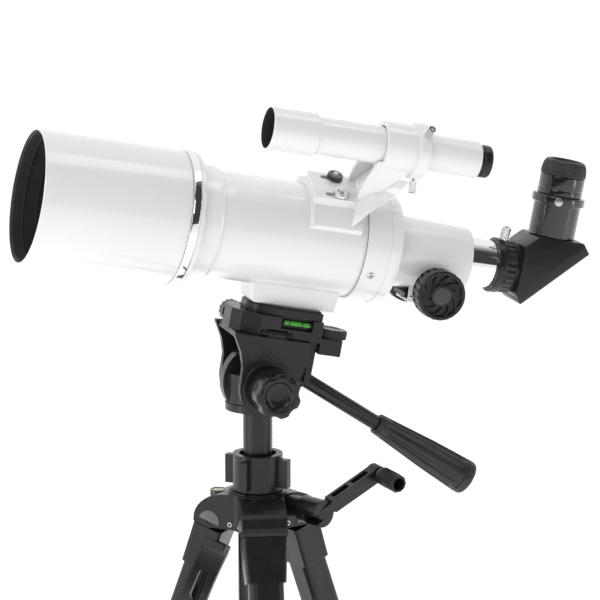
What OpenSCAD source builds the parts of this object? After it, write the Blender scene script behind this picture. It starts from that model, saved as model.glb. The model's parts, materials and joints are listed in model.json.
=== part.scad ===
// Short refractor telescope on a pan and tilt head with a folding tripod.
// Millimetres, +Z up. The origin is the floor point under the centre column.
// The tube points towards -X and is tilted up at rest.

/* [Optical tube] */
// Outer diameter of the dew shield
shield_d = 100; // [98:1:102]
// Length of the dew shield
shield_len = 112; // [108:1:116]
// Outer diameter of the main tube
tube_d = 80; // [79:0.5:81]
// Diameter of the objective lens
lens_d = 72; // [70:1:72]
// Angle of the tube above the horizon
tube_tilt = 11; // [5:1:15]

/* [Focuser] */
// Outer diameter of the sliding drawtube
draw_d = 36.5; // [36:0.5:37]
// Outer diameter of each focus knob
knob_d = 38; // [34:1:40]
// Diameter of the eyepiece barrel
barrel_d = 31.7; // [31.6:0.05:31.75]

/* [Finder] */
// Outer diameter of the finder tube
finder_d = 28; // [27:0.5:28.5]
// Distance of the finder axis from the tube axis
finder_rise = 89; // [88:0.5:92]
// Angle of the finder round the tube, from the top
finder_lean = 25; // [20:1:28]

/* [Head] */
// Outer diameter of the pan barrel
barrel_od = 48; // [46:1:48]
// Length of the pan handle beyond the yoke
handle_len = 159; // [150:1:165]
// Slope of the pan handle under the platform plane
handle_slope = 22.6; // [21:0.2:24]

/* [Tripod] */
// Length of a closed leg from hinge to floor
leg_len = 436; // [420:2:450]
// Angle of an open leg from the vertical
splay = 20; // [19:0.5:21]
// Diameter of the centre column
column_d = 22; // [21.5:0.5:22]
// Tooth pitch of the centre column rack
rack_pitch = 2.4; // [2.4:0.1:2.5]
// Teeth on the crank pinion
pinion_teeth = 12; // [12:1:13]

/* [Hidden] */
$fn = 64;
eps = 0.01;
run = 0.05;
leg_az = [-8.8, 111.2, -128.8];
hinge_r = 33;
hinge_z = leg_len * cos(splay);
collar_z = hinge_z + 52.4;
tilt_z = collar_z + 56;
axis_h = 112.9;
pivot_s = 200;
eye_s = 411;
focus_s = 316;
focus_drop = 23.4;
focus_pinion_r = 3.82;
crank_az = 27;
crank_z = collar_z - 40.5;
crank_pinion_r = rack_pitch * pinion_teeth / (2 * PI);
crank_off = column_d / 2 + 0.9 + crank_pinion_r;
arm_rise = 27;
arm_lean = 12;
arm_len = 56;
strut_a = 200;
strut_b = 130;
strut_in = 16;
hub_r = 20;
strut_lean = 30.7;
hub_z = hinge_z - 81.63;
flip_y = -26;
flip_h = 40.5;

// ---------- frames and helpers ----------

// Tilting frame: origin on the tilt axis, x to the rear along the tube, z up from the platform
module at_pivot() {
    translate([0, 0, tilt_z]) rotate([0, tube_tilt, 0]) children();
}

// Tube frame: z is the station behind the front rim, -x is up, -y is the near side
module at_tube() {
    at_pivot() translate([-pivot_s, 0, axis_h]) rotate([0, 90, 0]) children();
}

// Finder frame: as the tube frame, on the finder axis
module at_finder() {
    at_tube() rotate([0, 0, finder_lean]) translate([-finder_rise, 0, 0]) children();
}

// Eyepiece frame: z up along the eyepiece axis from the tube axis, x to the rear
module at_eyepiece() {
    at_pivot() translate([eye_s - pivot_s, 0, axis_h]) children();
}

// Handle frame: z along the handle, starting at the rear of the yoke
module at_handle() {
    at_pivot() translate([34.4, 0, 6.4]) rotate([0, 90 + handle_slope, 0]) children();
}

// Crank frame: x out along the crank axis, y towards the rack's side of the column
module at_crank() {
    rotate([0, 0, crank_az - 90]) translate([0, crank_off, crank_z]) children();
}

// Leg frame: origin on the hinge, x outward, -z down the open leg
module at_leg(i) {
    rotate([0, 0, leg_az[i] - 90]) translate([hinge_r, 0, hinge_z]) rotate([0, -splay, 0]) children();
}

// A box from its lowest and highest corners
module box(lo, hi) {
    translate(lo) cube(hi - lo);
}

// A cylinder along y between two y values
module bar_y(r, y0, y1) {
    translate([0, y1, 0]) rotate([90, 0, 0]) cylinder(r = r, h = y1 - y0);
}

// A round pipe along z between two z values
module pipe(r_out, r_in, z0, z1) {
    difference() {
        translate([0, 0, z0]) cylinder(r = r_out, h = z1 - z0);
        translate([0, 0, z0 - 1]) cylinder(r = r_in, h = z1 - z0 + 2);
    }
}

// A rod along z between two z values
module rod(r, z0, z1) {
    translate([0, 0, z0]) cylinder(r = r, h = z1 - z0);
}

// A turned shape from [radius, height] points
module lathe(points) {
    rotate_extrude() polygon(points);
}

// A rectangle w by d with corner radius r, with true arcs
module rounded_rect(w, d, r) {
    square([w - 2 * r, d], center = true);
    square([w, d - 2 * r], center = true);
    for (x = [-1, 1], y = [-1, 1]) translate([x * (w / 2 - r), y * (d / 2 - r)]) circle(r);
}

// A tube of that rectangle between two z values
module rounded_bar(w, d, r, z0, z1) {
    translate([0, 0, z0]) linear_extrude(z1 - z0) rounded_rect(w, d, r);
}

// A slot outline of a length and width, along x
module slot(len, w) {
    square([len - w, w], center = true);
    for (x = [-1, 1]) translate([x * (len - w) / 2, 0]) circle(w / 2);
}

// A knurled or ribbed disc: a disc with round flutes cut in its rim
module fluted_disc(r, h, count, flute_r) {
    difference() {
        cylinder(r = r, h = h);
        for (k = [0:count - 1])
            rotate([0, 0, k * 360 / count]) translate([r + flute_r * 0.55, 0, -1])
                cylinder(r = flute_r, h = h + 2, $fn = 16);
    }
}

// Outline of a small pinion with narrow straight teeth
module pinion_outline(pitch_r, teeth, rise, root) {
    step = 360 / teeth;
    polygon([
        for (k = [0:teeth - 1])
            for (p = [[-0.24, root], [-0.07, rise], [0.07, rise], [0.24, root]])
                [(pitch_r + p[1]) * cos((k + p[0]) * step), (pitch_r + p[1]) * sin((k + p[0]) * step)]
    ]);
}

// Outline of a rack: teeth stand in +y, their gaps centred on x = 0
module rack_outline(pitch, first, last, base, root, tip) {
    polygon(concat(
        [[first * pitch, base]],
        [for (k = [first:last - 1])
            for (p = [[0.27, root], [0.40, tip], [0.60, tip], [0.73, root]])
                [(k + p[0]) * pitch, p[1]]],
        [[last * pitch, base]]
    ));
}

// ---------- optical tube ----------

module dew_shield() {
    rim_r = shield_d / 2;
    color("white") at_tube() lathe([
        [rim_r - 1.2, 0], [rim_r - 0.4, 0], [rim_r, 0.6], [rim_r, shield_len],
        [rim_r - 1.6, shield_len], [rim_r - 1.6, 100], [rim_r - 4.5, 100],
        [rim_r - 4.5, 98], [rim_r - 3, 98], [rim_r - 3, 1.5]
    ]);
}

module trim_ring() {
    color("silver") at_tube() lathe([
        [48.5, shield_len + 0.1], [51, shield_len + 0.1], [51.5, shield_len + 0.7],
        [51.5, shield_len + 5.9], [51, shield_len + 6.5], [48.5, shield_len + 6.5]
    ]);
}

module objective_cell() {
    spigot_r = shield_d / 2 - 1.6 - run;
    seat_r = lens_d / 2 + 0.1;
    color("white") at_tube() lathe([
        [spigot_r, 101], [spigot_r, 118.5], [50.5, 118.5], [50.5, 122], [42.5, 122], [42.5, 137.5],
        [41.8, 139.3], [40.6, 140], [tube_d / 2, 140], [tube_d / 2, 124], [34.5, 124], [34.5, 121],
        [seat_r, 121], [seat_r, 105], [38, 101]
    ]);
}

module objective_lenses() {
    color("lightblue") at_tube() {
        intersection() {
            rod(lens_d / 2, 105, 121);
            translate([0, 0, 107 + 210]) sphere(r = 210, $fn = 128);
            translate([0, 0, 116 - 190]) sphere(r = 190, $fn = 128);
        }
        difference() {
            rod(lens_d / 2, 113.4, 120.9);
            translate([0, 0, 116.4 - 190]) sphere(r = 190, $fn = 128);
        }
    }
}

module main_tube() {
    color("white") at_tube() pipe(tube_d / 2, tube_d / 2 - 1.5, 124.1, 268);
}

module mounting_foot() {
    color("white") at_pivot() difference() {
        translate([0, 17, axis_h]) rotate([90, 0, 0]) linear_extrude(34)
            polygon([[-24, -30], [-22, -40], [-20, -51.5], [43.5, -51.5], [45, -40], [45.6, -30]]);
        translate([-60, 0, axis_h]) rotate([0, 90, 0]) cylinder(r = tube_d / 2, h = 140);
        translate([4, 0, axis_h - 52.5]) cylinder(r = 3.2, h = 9);
    }
}

// ---------- focuser ----------

module focuser_housing() {
    color("white") difference() {
        at_tube() lathe([
            [41.25, 252], [41.25, 271], [41.75, 271], [41.75, 277], [40.6, 280], [38.5, 281], [27.5, 281],
            [24.5, 343], [draw_d / 2 + run, 343], [draw_d / 2 + run, 333], [22, 333], [23.5, 277],
            [38, 277], [38, 268.1], [tube_d / 2, 268.1], [tube_d / 2, 252]
        ]);
        at_pivot() translate([focus_s - pivot_s, 0, axis_h - focus_drop]) {
            box([-8, -7, -6.6], [30, 7, 5.4]);
            bar_y(2.5 + run, -30, 30);
        }
    }
}

module pinion_bracket() {
    color([0.08, 0.08, 0.08]) at_pivot() translate([focus_s - pivot_s, 0, axis_h - focus_drop])
        difference() {
            union() {
                box([-18, -13, -9], [12, 13, -5.8]);
                box([-9, -13, -9], [9, -8, 5]);
                box([-9, 8, -9], [9, 13, 5]);
                translate([-13, 0, -11]) cylinder(r = 3, h = 3);
            }
            bar_y(2.5 + run, -20, 20);
            translate([-60, 0, focus_drop]) rotate([0, 90, 0]) cylinder(r1 = 30, r2 = 24.2, h = 112);
        }
}

module focus_shaft() {
    color("silver") at_pivot() translate([focus_s - pivot_s, 0, axis_h - focus_drop]) {
        bar_y(2.5, -44, 44);
        rotate([90, 0, 0]) rotate([0, 0, 90]) translate([0, 0, -4]) linear_extrude(8)
            pinion_outline(focus_pinion_r, 12, 0.55, -0.8);
    }
}

module focus_knobs() {
    color([0.12, 0.12, 0.12]) at_pivot() translate([focus_s - pivot_s, 0, axis_h - focus_drop])
        for (side = [-1, 1]) scale([1, side, 1]) translate([0, -30, 0]) rotate([90, 0, 0]) difference() {
            union() {
                fluted_disc(knob_d / 2, 15, 22, 1.6);
                translate([0, 0, -4]) cylinder(r = 8, h = 4 + eps);
            }
            translate([0, 0, 13]) pipe(15.5, 8, 0, 3);
            translate([0, 0, -5]) cylinder(r = 2.5 + 0.01, h = 19.01);
        }
}

module drawtube() {
    color("silver") at_tube() {
        pipe(draw_d / 2, draw_d / 2 - 1.7, 262, 370);
        translate([0, 0, focus_s]) rotate([0, -90, -90]) translate([0, 0, -3]) linear_extrude(6) drawtube_rack();
    }
}

// Outline of the rack under the drawtube: its teeth point away from the tube axis
module drawtube_rack() {
    pitch_h = focus_drop - focus_pinion_r;
    rack_outline(2, -26, 13, draw_d / 2 - 0.8, pitch_h - 0.75, pitch_h + 0.35);
}

module drawtube_collar() {
    color([0.1, 0.1, 0.1]) at_tube() difference() {
        union() {
            rod(21, 366, 373);
            translate([0, 0, 373]) fluted_disc(20.25, 9, 26, 1.2);
        }
        rod(draw_d / 2, 365, 370);
        rod(barrel_d / 2 + run, 369, 383);
        rotate([0, 0, 12]) translate([-30, 0, 371.6]) rotate([0, 90, 0]) cylinder(r = 1.5 + run, h = 20);
    }
}

module drawtube_thumbscrew() {
    color("silver") at_tube() rotate([0, 0, 12]) translate([-31.5, 0, 371.6]) rotate([0, 90, 0]) {
        fluted_disc(3.5, 10, 16, 0.5);
        cylinder(r = 1.5, h = 15.5);
    }
}

module diagonal_housing() {
    body = [[-26, 20], [-16.5, 28.5], [20.5, 28.5], [26.5, 21], [-21.5, -25], [-27, -18]];
    color([0.1, 0.1, 0.1]) at_eyepiece() difference() {
        union() {
            translate([0, 20, 0]) rotate([90, 0, 0]) linear_extrude(40) polygon(body);
            rotate([0, -90, 0]) translate([0, 0, 26]) cylinder(r = barrel_d / 2, h = 33);
        }
        difference() {
            union() {
                rotate([0, -90, 0]) cylinder(r = 14, h = 70);
                cylinder(r = 14, h = 40);
                rotate([0, -90, 0]) sphere(r = 14);
            }
            rotate([0, -45, 0]) box([-60, -30, -60], [60, 30, 0]);
        }
        rotate([0, -45, 0]) box([-20.1, -15.1, -2.1], [20.1, 15.1, eps]);
    }
}

module diagonal_mirror() {
    color("silver") at_eyepiece() rotate([0, -45, 0]) box([-20, -15, -2.05], [20, 15, -0.05]);
}

module eyepiece_holder() {
    color([0.1, 0.1, 0.1]) at_eyepiece() difference() {
        union() {
            rod(18, 28.5, 54.5);
            rod(20.25, 54, 60.5);
        }
        rod(15, 28, 34);
        rod(barrel_d / 2 + run, 33, 61);
        translate([0, 0, 57.2]) rotate([90, 0, -20]) cylinder(r = 1.5 + run, h = 24);
    }
}

module eyepiece_set_screw() {
    color("silver") at_eyepiece() translate([0, 0, 57.2]) rotate([90, 0, -20]) {
        rod(1.5, 16.1, 20.7);
        rod(3, 20.6, 24);
    }
}

module eyepiece_body() {
    color([0.1, 0.1, 0.1]) at_eyepiece() lathe([
        [barrel_d / 2, 36], [barrel_d / 2, 60.6], [17.25, 60.6], [17.25, 76], [14, 76], [14, 85],
        [11.5, 85], [11.5, 63], [14.2, 63], [14.2, 36]
    ]);
}

module eyecup() {
    color([0.15, 0.15, 0.15]) at_eyepiece() lathe([
        [14.05, 76.1], [17.5, 76.1], [17.4, 80], [16.6, 84], [15, 87.2], [13, 88], [11.6, 87.4],
        [11.4, 85.2], [14.05, 85.1]
    ]);
}

module eyepiece_lenses() {
    color("lightblue") at_eyepiece() {
        rod(11.4, 77, 82);
        rod(14.1, 50, 54);
    }
}

// ---------- finder ----------

module finder_tube() {
    color("white") at_finder() difference() {
        union() {
            rod(16, 160, 197);
            rod(finder_d / 2, 196, 325);
        }
        rod(14.6, 159, 190);
        rod(12.6, 189, 326);
    }
}

module finder_lenses() {
    color("lightblue") at_finder() {
        rod(12.55, 193, 197);
        rod(11.4, 325.6, 328);
    }
}

module finder_eyepiece() {
    color([0.1, 0.1, 0.1]) at_finder() lathe([
        [12.5, 313], [12.5, 325.1], [12.25, 325.1], [12.25, 333.5], [11.6, 334.5], [9, 334.5],
        [8.5, 328.2], [11.45, 328.2], [11.45, 313]
    ]);
}

// Saddle with two slots, leaning channel arm, sleeve and rear rim
module finder_bracket() {
    sleeve_r = finder_d / 2 + 1;
    color("white") at_tube() rotate([0, 0, finder_lean]) difference() {
        union() {
            difference() {
                intersection() {
                    rod(tube_d / 2 + 4.2, 206, 246);
                    box([-60, -31, 200], [-28, 31, 250]);
                }
                rod(tube_d / 2 + run, 205, 247);
            }
            box([-47.5, -17, 207], [-40.2, 17, 245.5]);
            for (y = [-15.5, 12.5]) translate([0, y + 3, 0]) rotate([90, 0, 0]) linear_extrude(3)
                polygon([[-43, 239], [-43, 245.5], [-47.5, 246], [-84, 276], [-84, 246], [-58, 239.5], [-50, 239]]);
            translate([0, 15.5, 0]) rotate([90, 0, 0]) linear_extrude(31)
                polygon([[-46, 242.5], [-46, 245.5], [-47.5, 246], [-82, 274], [-82, 269], [-49, 242.5]]);
            translate([-finder_rise, 0, 0]) {
                rod(18.5, 248.5, 274);
                rod(21, 273, 281.5);
            }
        }
        rod(tube_d / 2 + run, 205, 300);
        translate([-finder_rise, 0, 0]) rod(sleeve_r, 200, 300);
        for (y = [-11.5, 11.5]) translate([-60, y, 223.5]) rotate([0, 90, 0]) linear_extrude(30)
            slot(15, 4.6);
        for (a = [0, 120, 240]) translate([-finder_rise, 0, 277.5]) rotate([0, 0, a + 25])
            translate([-30, 0, 0]) rotate([0, 90, 0]) cylinder(r = 1.6 + run, h = 20);
    }
}

module bracket_nuts() {
    color("silver") at_tube() rotate([0, 0, finder_lean]) for (y = [-11.5, 11.5])
        translate([-51.6, y, 227]) rotate([0, 90, 0]) {
            fluted_disc(6, 4, 24, 0.5);
            translate([0, 0, -1.5]) cylinder(r = 2, h = 13.4);
        }
}

module finder_screws() {
    color("silver") at_finder() for (a = [0, 120, 240]) translate([0, 0, 277.5]) rotate([0, 0, a + 25])
        translate([-31.5, 0, 0]) rotate([0, 90, 0]) {
            fluted_disc(2.75, 9, 14, 0.4);
            cylinder(r = 1.6, h = 31.5 - finder_d / 2 - 0.02);
        }
}

// ---------- head ----------

module quick_release_plate() {
    color([0.12, 0.12, 0.12]) at_pivot() difference() {
        union() {
            translate([0, 0, 54.3]) linear_extrude(5.7) plate_outline(0);
            translate([0, 0, 60 - eps]) linear_extrude(1.4) plate_outline(1.5);
            box([-20, -17, 50.4], [26, 17, 54.4]);
        }
        translate([4, 0, 50]) cylinder(r = 3.3, h = 12);
        translate([4, 0, 49]) cylinder(r = 8.2, h = 5);
    }
}

// Plan of the quick-release plate: round nose, straight sides, inset by a margin
module plate_outline(inset) {
    difference() {
        union() {
            translate([1, inset - 24]) square([33 - inset, 48 - 2 * inset]);
            translate([1, 0]) circle(24 - inset);
        }
        translate([-52 + inset, -30]) square([30, 60]);
    }
}

module camera_screw() {
    color("silver") at_pivot() translate([4, 0, 0]) {
        rod(8, 50.5, 53.2);
        rod(3.17, 53.1, 68);
    }
}

module head_platform() {
    color([0.12, 0.12, 0.12]) at_pivot() difference() {
        union() {
            translate([0, 0, 38.3]) linear_extrude(15.7)
                polygon([[-33, -9], [-33, 9], [-27, 18], [-14, 26], [35, 26], [35, -26], [-14, -26], [-27, -18]]);
            box([30, -26, 38.3], [52, -6, 42.3]);
            box([34.9, -26, 30], [52, -6, 38.4]);
            translate([-19, 18, 44]) bar_y(4, 0, 9.9);
            for (x = [-12.3, 8]) at_flip_axis() rod(2.3, x, x + 4.3);
        }
        box([-8, flip_y - 4, 38], [8, flip_y + 3, 44]);
        at_flip_axis() rod(1.2 + run, -12.5, 12.5);
        box([-20.4, -17.4, 50], [26.4, 17.4, 60]);
        box([2, -27, 45.6], [27, -20.5, 55]);
        translate([45, -16, 37]) cylinder(r = 2 + run, h = 8);
        translate([-19, 20, 44]) bar_y(2.5 + run, -2, 10);
    }
}

module level_vial() {
    color("limegreen") at_pivot() translate([3, -23.6, 50]) rotate([0, 90, 0]) cylinder(r = 1.85, h = 23);
}

module plate_wheel() {
    color([0.15, 0.15, 0.15]) at_pivot() translate([45, -16, 0]) {
        translate([0, 0, 42.6]) fluted_disc(7, 12, 24, 0.7);
        rod(2, 38, 43);
    }
}

module tilt_yoke() {
    front = [[-33, 38], [-33, 36], [-30, 31], [-26, 24], [-22.5, 13], [-21.9, 2]];
    rear = [[21.6, -4], [23, 8], [27, 26], [27, 38]];
    color([0.12, 0.12, 0.12]) at_pivot() difference() {
        union() {
            for (y = [-30, 24.6]) translate([0, y + 5.4, 0]) rotate([90, 0, 0]) linear_extrude(5.4) {
                polygon(concat(front, rear));
                circle(22);
            }
            box([-31, -30, 34], [27, 30, 38]);
            box([26, -22, 33], [34.4, 22, 38]);
            box([29.4, -20, 6], [34.4, 20, 37]);
            at_rear_socket();
            box([-7.5, flip_y - 2, 36], [7.5, flip_y + 2, flip_h]);
            at_flip_axis() rod(2.3, -7.5, 7.5);
            at_flip_axis() rod(1.2, -12, 12);
        }
        bar_y(4 + run, -40, 40);
        translate([34.4, 0, 6.4]) rotate([0, 90 + handle_slope, 0]) rod(4 + run, -3.2, 6);
    }
}

// Flip hinge frame: z to the rear along the hinge at the near edge of the platform
module at_flip_axis() {
    translate([0, flip_y, flip_h]) rotate([0, 90, 0]) children();
}

// Socket for the handle's threaded end
module at_rear_socket() {
    intersection() {
        translate([34.4, 0, 6.4]) rotate([0, 90 + handle_slope, 0]) rod(9, -9, 1);
        box([29.4, -20, -20], [60, 20, 40]);
    }
}

module tilt_knob() {
    color([0.12, 0.12, 0.12]) at_pivot() difference() {
        union() {
            bar_y(4, -46, 14);
            bar_y(15.5, -48, -30.4);
            translate([0, -44, 0]) rotate([90, 0, 0]) difference() {
                cylinder(r = 17.5, h = 16);
                for (k = [0:6]) rotate([0, 0, k * 360 / 7]) translate([23, 0, -1]) cylinder(r = 7.5, h = 18);
            }
        }
        translate([0, -75, 0]) sphere(r = 19.5);
    }
}

module flip_knob() {
    color([0.12, 0.12, 0.12]) at_pivot() translate([-19, 0, 44]) {
        translate([0, 40.8, 0]) rotate([90, 0, 0]) fluted_disc(8.75, 10, 14, 1.2);
        bar_y(2.5, 19, 31);
    }
}

module pan_barrel() {
    r = barrel_od / 2;
    color([0.12, 0.12, 0.12]) translate([0, 0, tilt_z]) difference() {
        union() {
            rod(r, -14.8, 8);
            bar_y(28, -4, 6);
            intersection() {
                bar_y(15, -24.3, 24.3);
                rod(r + 0.3, -20, 30);
            }
        }
        bar_y(4 + run, -40, 40);
        box([-40, -40, -40], [40, 40, -14.8]);
        rod(8 + run, -16, -8);
    }
}

module pan_base() {
    color([0.12, 0.12, 0.12]) translate([0, 0, tilt_z]) difference() {
        union() {
            rod(barrel_od / 2 + 0.5, -21, -15.2);
            rod(8, -15.3, -8.2);
        }
        rod(column_d / 2, -22, -17);
    }
}

module pan_handle_rod() {
    color([0.1, 0.1, 0.1]) at_handle() {
        rod(5.75, 1.4, 84);
        rod(4, -3, 1.5);
    }
}

module pan_handle_grip() {
    start = 71;
    grip = handle_len - start;
    color([0.12, 0.12, 0.12]) at_handle() difference() {
        lathe([
            [5.75, start], [8, start], [9.2, start + grip * 0.15], [11.6, start + grip * 0.6],
            [13.2, start + grip - 8], [13.5, start + grip - 2], [12.5, start + grip], [0, start + grip],
            [0, 84], [5.75, 84]
        ]);
        for (k = [0:7]) rotate([0, 0, k * 45]) translate([14.5, 0, start + 9]) rotate([0, 2.6, 0])
            cylinder(r = 2.6, h = grip - 19, $fn = 24);
    }
}

// ---------- tripod ----------

module centre_column() {
    r = column_d / 2;
    color([0.15, 0.15, 0.15]) {
        difference() {
            translate([0, 0, collar_z - 235]) cylinder(r = r, h = 274);
            translate([0, 0, collar_z - 232]) cylinder(r = r - 1.6, h = 266);
        }
        translate([0, 0, crank_z]) rotate([0, 0, crank_az - 90]) rotate([0, -90, 0])
            translate([0, 0, -3.5]) linear_extrude(7)
                rack_outline(rack_pitch, -44, 30, r - 0.6, r + 0.1, r + 1.35);
        translate([0, 0, collar_z - 240]) cylinder(r = r + 1, h = 5 + eps);
    }
}

module column_collar() {
    color([0.12, 0.12, 0.12]) translate([0, 0, collar_z - 28]) difference() {
        union() {
            cylinder(r = 19, h = 28);
            for (k = [0:3]) rotate([0, 0, k * 90 + 48.5]) box([0, -3.2, 3], [26, 3.2, 25]);
        }
        translate([0, 0, -1]) cylinder(r = 14.1, h = 30);
    }
}

module tripod_shoulder() {
    arch = [for (t = [0:10:90]) [20 + 26 * sin(t), 52.4 - 31 - 20 * (1 - cos(t))]];
    ear = concat([[0, 21.4]], arch, [[13 + hinge_r, -1.1], [1.9 + hinge_r, -5.2], [hinge_r, -5.5], [0, -5.5]]);
    color([0.12, 0.12, 0.12]) difference() {
        union() {
            for (i = [0:2]) rotate([0, 0, leg_az[i] - 90]) translate([0, 17, hinge_z]) rotate([90, 0, 0])
                linear_extrude(34) polygon(ear);
            translate([0, 0, collar_z - 58]) cylinder(r = 22, h = 28);
            translate([0, 0, collar_z - 30.1]) cylinder(r = 21, h = 1.6);
            translate([0, 0, collar_z - 28.6]) cylinder(r = 14, h = 20);
            translate([0, 0, collar_z - 205]) cylinder(r = 15, h = 150);
            at_crank() rotate([0, 90, 0]) cylinder(r = 8.6, h = 34);
        }
        for (i = [0:2]) at_leg(i) translate([0, 10.4, 0]) rotate([90, 0, 0]) linear_extrude(20.8) {
            circle(9.6);
            polygon([[9.3, 0], [9.3, -30], [-22, -30], [-19, -25], [-8.7, 3]]);
        }
        for (i = [0:2]) at_leg(i) bar_y(2.5 + run, -20, 20);
        translate([0, 0, collar_z - 210]) cylinder(r = 13, h = 170);
        translate([0, 0, collar_z - 50]) cylinder(r = column_d / 2 + run, h = 50);
        rotate([0, 0, crank_az - 90]) box([-4, 0, collar_z - 210], [4, 13, collar_z]);
        at_crank() rotate([0, 90, 0]) {
            rod(6.2, -6, 6);
            rod(3 + run, 0, 40);
        }
    }
}

module crank_hub() {
    color([0.12, 0.12, 0.12]) at_crank() rotate([0, 90, 0]) {
        rotate([0, 0, 90]) translate([0, 0, -5]) linear_extrude(9)
            pinion_outline(crank_pinion_r, pinion_teeth, 0.6, -1.0);
        rod(3, 4 - eps, 36);
        difference() {
            rod(10.5, 34.4, 55);
            rotate([0, 0, 90 + arm_rise]) box([-12, -4.2, 43], [20, 4.2, 57]);
        }
        rotate([0, 0, 90 + arm_rise]) translate([0, 0, 50]) bar_y(1.5, -8.5, 8.5);
    }
}

// Crank arm frame: origin on the fold pin, y out along the arm
module at_crank_arm() {
    at_crank() rotate([arm_rise, 0, 0]) translate([50, 0, 0]) rotate([0, 0, -arm_lean]) children();
}

module crank_arm() {
    color([0.12, 0.12, 0.12]) at_crank_arm() difference() {
        union() {
            translate([0, 0, -4]) cylinder(r = 5, h = 8);
            box([-5, 0, -4], [5, 12, 4]);
            box([-5, 11, -5.5], [5, arm_len - 3, 5.5]);
            translate([-5, arm_len, 0]) rotate([0, 90, 0]) cylinder(r = 6, h = 10);
        }
        for (y = [15, 34]) box([-2.5, y, 2], [2.5, y + 15, 6]);
        translate([-6, arm_len, 0]) rotate([0, 90, 0]) cylinder(r = 2.5 + run, h = 14);
        translate([0, 0, -10]) cylinder(r = 1.55, h = 20);
    }
}

module crank_knob() {
    color([0.12, 0.12, 0.12]) at_crank_arm() translate([0, arm_len, 0]) rotate([0, 90, 0]) {
        rod(2.5, -4, 6);
        difference() {
            lathe([[0, 5.4], [5, 5.4], [7.25, 9], [7.25, 29], [6.2, 31], [0, 31]]);
            rod(4.6, 17, 32);
        }
    }
}

module strut_hub() {
    color([0.12, 0.12, 0.12]) translate([0, 0, hub_z]) difference() {
        union() {
            translate([0, 0, -10]) cylinder(r = 16.4, h = 20);
            for (az = leg_az) rotate([0, 0, az - 90]) {
                box([0, -2.5, -3.2], [hub_r, 2.5, 3.2]);
                translate([hub_r, 0, 0]) bar_y(3.2, -2.5, 2.5);
            }
        }
        translate([0, 0, -12]) cylinder(r = 15 + run, h = 24);
    }
}

// ---------- legs ----------

module leg_upper(i) {
    color([0.15, 0.15, 0.15]) at_leg(i) difference() {
        rounded_bar(22, 26, 6, -385, -14);
        rounded_bar(18.6, 22.6, 4.5, -386, -13);
    }
}

module leg_fittings(i) {
    color([0.12, 0.12, 0.12]) at_leg(i) difference() {
        union() {
            hull() {
                rounded_bar(24, 34, 3, -8, -6);
                rounded_bar(23.5, 29.5, 3, -40, -38);
            }
            bar_y(8, -10, 10);
            box([-8, -10, -10], [8, 10, 0]);
            bar_y(2.5, -16.5, 16.5);
            rounded_bar(25, 29, 6, -strut_a - 12, -strut_a + 8);
            for (y = [-7.3, 4.3]) {
                box([-strut_in, y, -strut_a - 4], [-10, y + 3, -strut_a + 4]);
                translate([-strut_in, 0, -strut_a]) bar_y(4, y, y + 3);
            }
            translate([-strut_in, 0, -strut_a]) bar_y(1.5, -7, 7);
            rounded_bar(27, 31, 6, -392, -352);
            for (y = [-9, 6]) {
                box([12, y, -386], [17, y + 3, -374]);
                translate([17, 0, -380]) bar_y(6, y, y + 3);
            }
            translate([17, 0, -380]) bar_y(1.5, -8, 8);
        }
        rounded_bar(22, 26, 6, -385, -14);
        rounded_bar(17.6, 21.6, 4, -400, -380);
    }
    if (i == 2) color([0.12, 0.12, 0.12]) carry_handle();
}

// Bowed carry handle with two oval slots, on the near side of the third leg
module carry_handle() {
    bow_r = 115;
    at_leg(2) translate([-12, 14.2, -68]) difference() {
        union() {
            rotate([0, 90, 0]) translate([0, 14 - bow_r, -10]) linear_extrude(20) intersection() {
                difference() {
                    circle(bow_r, $fn = 180);
                    circle(bow_r - 4.5, $fn = 180);
                }
                translate([-55, bow_r - 15.2]) square([110, 30]);
            }
            box([-6, -1.2, 47], [10, 3, 55]);
            box([-6, -1.2, -55], [10, 3, -47]);
        }
        for (z = [-20, 20]) translate([0, 25, z]) rotate([90, 90, 0]) linear_extrude(30) slot(26, 8);
    }
}

module leg_lower(i) {
    foot_z = -leg_len;
    difference() {
        at_leg(i) {
            color([0.5, 0.5, 0.5]) difference() {
                rounded_bar(17, 21, 4, foot_z + 18, -100);
                rounded_bar(14.6, 18.6, 3, foot_z + 30, -99);
            }
            color([0.1, 0.1, 0.1]) {
                rod(14, foot_z - 6, foot_z + 22);
                rod(12, foot_z + 21, foot_z + 30);
            }
        }
        box([-400, -400, -40], [400, 400, 0]);
    }
}

module leg_lever(i) {
    color([0.1, 0.1, 0.1]) at_leg(i) difference() {
        union() {
            translate([17, 0, -380]) bar_y(3.3, -5.7, 5.7);
            box([15.5, -5.7, -380], [19.5, 5.7, -368]);
            box([16, -9, -368], [20, 9, -342]);
        }
        translate([17, 0, -380]) bar_y(1.5 + run, -10, 10);
    }
}

module leg_strut(i) {
    color([0.15, 0.15, 0.15]) rotate([0, 0, leg_az[i] - 90]) translate([hub_r, 0, hub_z])
        rotate([0, -strut_lean, 0]) difference() {
            union() {
                box([-2.2, -4, -strut_b], [2.2, 4, -13]);
                translate([0, 0, -strut_b]) bar_y(3.3, -4, 4);
                for (y = [-6, 3]) {
                    box([-2.2, y, -15], [2.2, y + 3, 0]);
                    bar_y(2.2, y, y + 3);
                }
                for (y = [-7.2, 6]) bar_y(1.8, y, y + 1.2);
            }
            translate([0, 0, -strut_b]) bar_y(1.5 + run, -10, 10);
        }
}

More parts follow.
